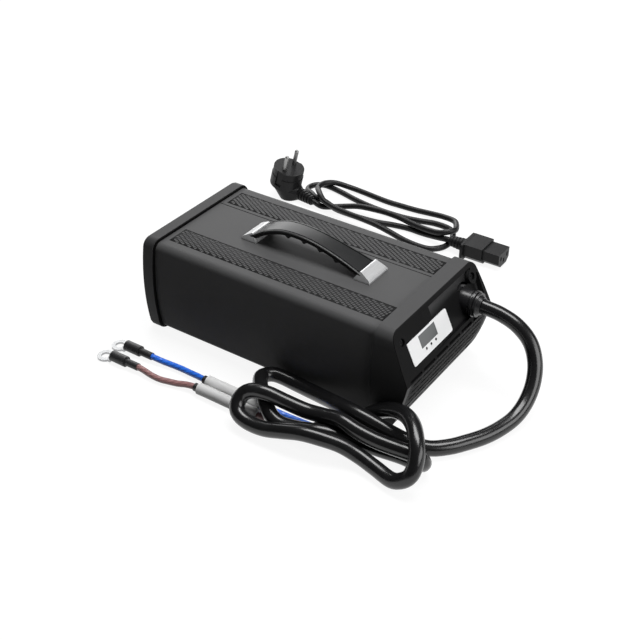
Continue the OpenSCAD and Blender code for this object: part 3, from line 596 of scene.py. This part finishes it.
# Its weave: the limits of the pads' middles, their step along a row, the step to the next row and their turn
WEAVE_REAR = -122.9
WEAVE_FRONT = 106.2
WEAVE_INNER = 33.0
WEAVE_OUTER = 53.8
PAD_STEP = 2.84
ROW_STEP = Vector((0.292, 0.956, 0)) * 3.69
ROW_TURN = math.radians(-29.0)
PAD_HEIGHT = 0.26
PAD_MIDDLE = 95.55
PAD_TOP_SHARE = 0.90
PADS_EACH_WAY = 60
ROWS_EACH_WAY = 34


def strip_bed(name, side):
    """The dark floor of a strip's shallow recess, painted dark as the shade between the pads."""
    low, high = sorted((side * STRIP_INNER, side * STRIP_OUTER))
    outline = ((STRIP_REAR, low), (STRIP_FRONT, low), (STRIP_FRONT, high), (STRIP_REAR, high))
    corners = [(x, y, z) for z in (BED_FOOT, BED_TOP) for x, y in outline]
    faces = [(3, 2, 1, 0), (4, 5, 6, 7), (0, 1, 5, 4), (1, 2, 6, 5), (2, 3, 7, 6), (3, 0, 4, 7)]
    piece(name, corners, faces, strip_painted_shade)


def strip_weave(name, side, gap, wide, seed):
    """A pressed weave on one strip: slanting rows of small pads, whose middles keep clear of its border."""
    along = Vector((math.cos(ROW_TURN), math.sin(ROW_TURN), 0)) * PAD_STEP
    middle = Vector((-8.0, side * (STRIP_INNER + STRIP_OUTER) / 2, PAD_MIDDLE))
    places = [middle + along * i + ROW_STEP * j for i in range(-PADS_EACH_WAY, PADS_EACH_WAY + 1)
              for j in range(-ROWS_EACH_WAY, ROWS_EACH_WAY + 1)]
    inside = [p for p in places if WEAVE_REAR < p.x < WEAVE_FRONT and WEAVE_INNER < side * p.y < WEAVE_OUTER]
    pressed_pads(name, inside, PAD_STEP - gap, wide, PAD_HEIGHT, ROW_TURN, PAD_TOP_SHARE, seed)


strip_bed("near_strip_bed", -1)
strip_bed("far_strip_bed", 1)
strip_weave("near_strip_weave", -1, gap=1.05, wide=2.75, seed=7)
strip_weave("far_strip_weave", 1, gap=0.50, wide=2.60, seed=11)


# The handle
STRAP_LINE = [(-62.6, 4.9), (-56, 8.8), (-46, 14.6), (-30, 20.0), (-13, 21.4), (5, 20.0), (23, 16.4),
              (42, 11.2), (55, 7.0), (62.6, 4.3)]
STRAP_FOOT = 95.8
STRAP_HALF_LENGTH = 63
STRAP_HALF_WIDTH = 14.0
STRAP_WAIST = 3.5
FINGER_BUMPS = (-21.0, -3.0, 15.0, 33.0)
BUMP_HALF_LENGTH = 3.6
BUMP_HEIGHT = 2.5
# Half of the section, from the middle of the top round the edge to the middle below: inset from the edge, and
# height. It has a bead on the edge of the top and a groove in the side. Its two end points lie in the middle.
STRAP_SECTION = [(0.0, 0.0), (-3.8, 0.0), (-2.9, -0.05), (-2.6, -0.7), (-2.0, -0.75), (-1.7, -0.05),
                 (-0.7, -0.10), (-0.15, -0.45), (0.0, -1.0), (0.0, -1.6), (-0.9, -1.9), (-0.9, -2.6),
                 (0.0, -2.9), (0.0, -3.6), (-0.25, -4.1), (-0.8, -4.4), (-2.0, -4.4), (-3.0, -4.4),
                 (0.0, -4.4)]
UNDERSIDE_POINTS = 5


def finger_bump(x):
    """How far the bumps under the strap stand down at that place along it."""
    return sum(BUMP_HEIGHT * max(0.0, math.cos((x - b) / BUMP_HALF_LENGTH * math.pi / 2)) ** 2
               for b in FINGER_BUMPS if abs(x - b) < BUMP_HALF_LENGTH)


def carrying_strap():
    """The strap: narrower in its middle, with soft bumps for the fingers below."""
    line = through([(x, 0, STRAP_FOOT + z) for x, z in STRAP_LINE], step=1.25)[0]
    ends = (0, len(STRAP_SECTION) - 1)
    verts = []
    for k, at in enumerate(line):
        ahead = heading(line, k)
        up = Vector((-ahead.z, 0, ahead.x))
        bow = math.sin(math.pi * (at.x + STRAP_HALF_LENGTH) / (2 * STRAP_HALF_LENGTH))
        half = STRAP_HALF_WIDTH - STRAP_WAIST * max(0.0, bow) ** 0.8
        ring = []
        for n, (inset, height) in enumerate(STRAP_SECTION):
            if n >= len(STRAP_SECTION) - UNDERSIDE_POINTS:
                height -= finger_bump(at.x)
            ring.append((inset if n in ends else half + inset, height))
        ring += [(-y, height) for y, height in reversed(ring[1:-1])]
        verts += [at + Vector((0, y, 0)) + up * height for y, height in ring]
    count = len(ring)
    faces = []
    for k in range(len(line) - 1):
        for j in range(count):
            n = (j + 1) % count
            faces.append((k * count + j, (k + 1) * count + j, (k + 1) * count + n, k * count + n))
    faces.append(tuple(range(count)))
    faces.append(tuple(reversed(range((len(line) - 1) * count, len(line) * count))))
    strap = piece("carrying_strap", verts, faces, strap_rubber, smooth=32.0)
    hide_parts("handle_strap")


carrying_strap()


# The routes of the cords, from where each leaves its exit to its far end
CHARGING_ROUTE = [
    (152, 45, 71), (170, 45, 69.5), (187, 44.5, 64), (201.5, 42, 53.5), (211, 35, 40), (216, 24, 27),
    (217.5, 9.5, 16.5), (216, -7, 10), (211.5, -24, 7.5), (205, -41, 7), (196, -56.5, 7), (185.5, -71, 7),
    (172.5, -83, 8), (156.5, -89.5, 12.5), (140, -94, 18.5), (123, -96.5, 24), (105, -95, 24.5),
    (88, -90.5, 21), (71.5, -85, 16.5), (54.5, -80.5, 13), (37, -78, 11.5), (19, -78, 12.5), (10, -81, 13.5),
    (5.5, -89, 14.5), (9.5, -97.5, 16), (21.5, -111, 18), (34, -122, 17.5), (44, -127.5, 13),
    (55.5, -129, 10.5), (73, -127, 12), (90.5, -123.5, 15), (106.5, -116.5, 13), (123, -109.5, 9),
    (140.5, -106, 7.5), (158, -103, 7), (174, -103, 7.5), (181, -105.5, 12), (180.5, -109.5, 19.5),
    (173.5, -112.5, 24), (158.5, -113.5, 23.5), (140.5, -114.5, 23.5), (123, -114.5, 25), (105, -112.5, 26.5),
    (87.5, -111.5, 22.5), (70, -113, 21), (53, -117.5, 25.5), (36.5, -122.5, 31), (23, -125.5, 30),
    (15.5, -129.5, 25.5), (14, -135.5, 19.5), (18, -141, 14), (29.5, -143.5, 11), (47, -143.5, 11.5),
    (64.5, -141.5, 16), (81.5, -138.5, 20), (99, -134.5, 20), (115.5, -128.5, 16), (132, -125.5, 10),
    (149.5, -128, 7.5), (167, -132.5, 7.5), (177.5, -132.5, 12.5), (183.5, -129.5, 20), (183, -122, 30.5),
    (177.5, -113, 37.5), (166.5, -99.5, 41), (152.5, -88.5, 38.5), (136.5, -83, 32.5), (121, -82.5, 23),
    (113.5, -85, 16), (106, -95, 9.5), (99.5, -104.5, 7), (88, -112.5, 7.2)]
BLUE_ROUTE = [
    (83.0, -112.3, 6.6), (75.0, -110.4, 4.4), (67.0, -110.0, 3.2), (51.0, -111.0, 3.2), (42.0, -112.4, 4.4),
    (34.0, -113.6, 5.6), (0.0, -113.6, 5.6), (-37.0, -113.6, 5.6), (-50.0, -112.8, 5.2), (-60.0, -111.8, 4.2),
    (-70.0, -111.4, 4.0), (-80.0, -111.8, 4.0), (-90.0, -112.7, 4.2), (-98.0, -113.6, 5.0),
    (-104.0, -113.9, 5.4), (-110.0, -113.9, 5.4)]
BROWN_ROUTE = [
    (83.0, -114.4, 6.4), (75.0, -117.0, 4.4), (66.0, -119.0, 3.2), (51.0, -121.6, 3.3), (40.0, -124.0, 4.5),
    (28.0, -126.4, 5.6), (0.0, -126.4, 5.6), (-37.0, -126.4, 5.6), (-50.0, -127.8, 5.2), (-59.0, -130.4, 4.2),
    (-68.0, -132.6, 4.0), (-77.0, -134.6, 4.0), (-87.0, -134.6, 4.2), (-97.0, -133.7, 5.0),
    (-104.0, -133.4, 5.4), (-110.0, -133.4, 5.4)]
MAINS_ROUTE = [
    (-147, 212.7, 8), (-135.5, 212.5, 5), (-128.5, 218, 3.5), (-114.5, 227, 4.5), (-97.5, 232, 7.5),
    (-79.5, 232, 10), (-61.5, 232.5, 11), (-43.5, 231.5, 11), (-26, 228.5, 10.5), (-8, 225.5, 11),
    (9.5, 222.5, 13.5), (19, 223.5, 16), (24.5, 230, 16.5), (24.5, 238.5, 14.5), (16.5, 254.5, 11),
    (9.5, 261, 10), (-6.5, 266, 7.5), (-24.5, 268, 5), (-42.5, 268, 3.5), (-60.5, 267, 3.5),
    (-78.5, 266.5, 3.5), (-96, 268, 3.5), (-114, 270, 3.5), (-132, 269, 5), (-148, 262.5, 9),
    (-156, 254, 10.5), (-158, 245, 11), (-156, 236.5, 11.5), (-145, 223, 15.5), (-136, 214, 16),
    (-128, 210, 14),
    (-110.5, 208.5, 11), (-92.5, 207, 10.5), (-74.5, 206, 10.5), (-57, 206.5, 8.5), (-39, 206, 5.5),
    (-21.5, 203.5, 3.5), (-3.5, 201, 3.5), (10.5, 202, 3.5), (18, 207, 3.5), (23.5, 216, 3.5), (24, 230, 3.5),
    (17.5, 246.5, 3.5), (8.5, 252, 4), (-9.5, 253.5, 3.5), (-26.5, 249, 3.5), (-44.5, 245.5, 3.5),
    (-62.5, 244.5, 3.5), (-80, 245, 3.5), (-98, 247, 3.5), (-116, 250.5, 3.5), (-133.5, 255, 3.5),
    (-151, 258.5, 3.5), (-161.5, 258, 4), (-170.5, 253, 4), (-174, 245, 3.5), (-170.5, 237, 4),
    (-158, 226.5, 8.5), (-148.5, 220, 9.5), (-134.5, 217, 10), (-126.5, 215, 9.5), (-117, 216, 5),
    (-99.5, 217, 3.5), (-81.5, 217.5, 3.5), (-63.5, 219.5, 3.5), (-46, 224.5, 3.5), (-28.5, 227.5, 3.5),
    (-10.5, 226.5, 4), (7, 224, 6.5), (22.5, 221, 10), (28.5, 221, 10.2)]


# The cords
CHARGING_WIDTH = 13.8
MAINS_WIDTH = 6.5
WIRE_WIDTH = 5.8
SLEEVE_BORE = 5.9
SLEEVE_RADIUS = 5.5
COLLAR_RADIUS = 3.9
SLEEVE_STARTS = {"blue": 31.0, "brown": 28.0}
SLEEVE_END = -37.5
COLLAR_END = -42.0
SPLIT_LINE = [(93.6, -109.0, 7.6), (88.0, -112.2, 7.6), (83.6, -113.2, 7.4), (79.0, -113.6, 6.3)]
SPLIT_RADIUS = 7.5
SPLIT_TAPER = 2.1
SPLIT_EVEN_SHARE = 0.35


def cord_curve(name, line, diameter, material):
    """A cord as one open spline with a round section, along the cord's own centre line."""
    data = bpy.data.curves.new(name, "CURVE")
    data.dimensions = "3D"
    data.bevel_depth = diameter / 2 * MM
    data.bevel_resolution = 6
    data.use_fill_caps = True
    spline = data.splines.new("POLY")
    spline.points.add(len(line) - 1)
    for point, at in zip(spline.points, line):
        point.co = (*(at * MM), 1.0)
    spline.use_smooth = True
    data.materials.append(material)
    made = linked(name, data)
    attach(made, "charger")
    return made


def sleeve_on(line, name, start, end, radius, material):
    """A tube with a bore that follows a wire's line from one x to another."""
    shown = [p for p in line if end <= p.x <= start]
    first = Vector((start, shown[0].y, shown[0].z))
    last = Vector((end, shown[-1].y, shown[-1].z))
    return tube(name, [first, *shown[1:-1], last], radius, material, sides=28, bore=SLEEVE_BORE)


def moulded_split():
    """The moulding where the two wires leave the charging cable: even at first, then tapering."""
    line = through(SPLIT_LINE, step=1.6)[0]
    shares = [k / (len(line) - 1) for k in range(len(line))]
    narrowing = [max(0.0, (share - SPLIT_EVEN_SHARE) / (1 - SPLIT_EVEN_SHARE)) for share in shares]
    radii = [SPLIT_RADIUS - SPLIT_TAPER * reach ** 1.5 for reach in narrowing]
    tube("cable_split", line, radii, shrink_tube, sides=28)


charging_line, charging_run = through(CHARGING_ROUTE, step=3.0)
charging_cable = cord_curve("charging_cable", charging_line, CHARGING_WIDTH, charging_jacket)
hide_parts("dc_lead", "dc_hank")
wires = {}
for colour, route, skin in (("blue", BLUE_ROUTE, blue_wire_skin), ("brown", BROWN_ROUTE, brown_wire_skin)):
    line, run = through(route, step=2.0)
    wire = tube(f"{colour}_wire", line, WIRE_WIDTH / 2, skin, sides=20)
    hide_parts(f"wire_{colour}")
    wires[colour] = (wire, line, run)
for colour, start in SLEEVE_STARTS.items():
    line = wires[colour][1]
    sleeve = sleeve_on(line, f"{colour}_sleeve", start, SLEEVE_END, SLEEVE_RADIUS, sleeve_tubing)
    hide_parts(f"sleeve_{colour}")
    collar = sleeve_on(line, f"{colour}_collar", SLEEVE_END, COLLAR_END, COLLAR_RADIUS, shrink_tube)
    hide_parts(f"collar_{colour}")
moulded_split()
mains_line, mains_run = through(MAINS_ROUTE, step=2.5)
mains_cable = cord_curve("mains_cable", mains_line, MAINS_WIDTH, mains_jacket)
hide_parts("mains_lead_a", "mains_hank", "mains_lead_b")

charging_run * MM
for colour, (wire, line, run) in wires.items():
    line[0] * MM
    run * MM
    [p * MM for p in line]
mains_run * MM


# Floor, sky and lamps, in metres
FLOOR_REACH = 9
FLOOR_DROP = 0.0004
FLOOR_TONE = 0.13
FLOOR_GLOW = 0.90
SKY_LIGHT = 0.045


class Backdrop(Nodes):
    """The emptied node tree of the floor's material or of the world."""

    def __init__(self, owner):
        owner.use_nodes = True
        self.tree = owner.node_tree
        self.tree.nodes.clear()
        self.rays = self.node("LightPath")

    def clamped_sum(self, first, second):
        return self.node("Math", {"operation": "ADD", "use_clamp": True}, first, second).value()


def pale_floor():
    """White to the camera and in reflections, and a dim matt surface to everything else, so shadows show."""
    reach = FLOOR_REACH
    mesh = bpy.data.meshes.new("floor")
    mesh.from_pydata([(-reach, -reach, 0), (reach, -reach, 0), (reach, reach, 0), (-reach, reach, 0)], [],
                     [(0, 1, 2, 3)])
    floor = linked("floor", mesh)
    floor.location.z = -FLOOR_DROP
    paper = bpy.data.materials.new("pale_paper")
    tree = Backdrop(paper)
    looked_at = tree.rays.value("Is Camera Ray") + tree.rays.value("Is Glossy Ray")
    looked_at = tree.clamped_sum(looked_at, tree.rays.value("Is Transmission Ray"))
    glow = tree.node("Emission", None, Strength=looked_at * FLOOR_GLOW)
    matt = tree.node("BsdfDiffuse", None, Color=(FLOOR_TONE, FLOOR_TONE, FLOOR_TONE, 1))
    both = tree.node("AddShader", None, glow.value(), matt.value())
    tree.node("OutputMaterial", None, Surface=both.value())
    mesh.materials.append(paper)


def pale_sky():
    """White to the camera, and a faint even light to everything else."""
    world = bpy.data.worlds.new("studio")
    bpy.context.scene.world = world
    tree = Backdrop(world)
    looked_at = tree.clamped_sum(tree.rays.value("Is Camera Ray"), tree.rays.value("Is Transmission Ray"))
    faint = tree.node("Background", None, Color=(1, 1, 1, 1), Strength=SKY_LIGHT)
    white = tree.node("Background", None, Color=(1, 1, 1, 1), Strength=1.0)
    seen = tree.node("MixShader", None, looked_at, faint.value(), white.value())
    tree.node("OutputWorld", None, Surface=seen.value())


def soft_lamp(name, at, aim, width, height, power):
    """A flat lamp of that size that faces the place aim."""
    data = bpy.data.lights.new(name, "AREA")
    data.shape = "RECTANGLE"
    data.size = width
    data.size_y = height
    data.energy = power
    lamp = linked(name, data)
    lamp.location = at
    lamp.rotation_mode = "QUATERNION"
    lamp.rotation_quaternion = (Vector(aim) - Vector(at)).to_track_quat("-Z", "Y")


pale_floor()
pale_sky()
soft_lamp("overhead", at=(0.0, 0.3, 1.6), aim=(0.0, 0.03, 0.0), width=1.4, height=0.7, power=28.0)
soft_lamp("back_left", at=(-1.35, 1.4, 0.85), aim=(0.0, 0.05, 0.05), width=1.5, height=1.5, power=21.0)
soft_lamp("display_side", at=(1.7, 0.1, 0.9), aim=(0.1, 0.0, 0.07), width=1.7, height=1.0, power=20.0)
bpy.context.scene.view_settings.view_transform = "Standard"
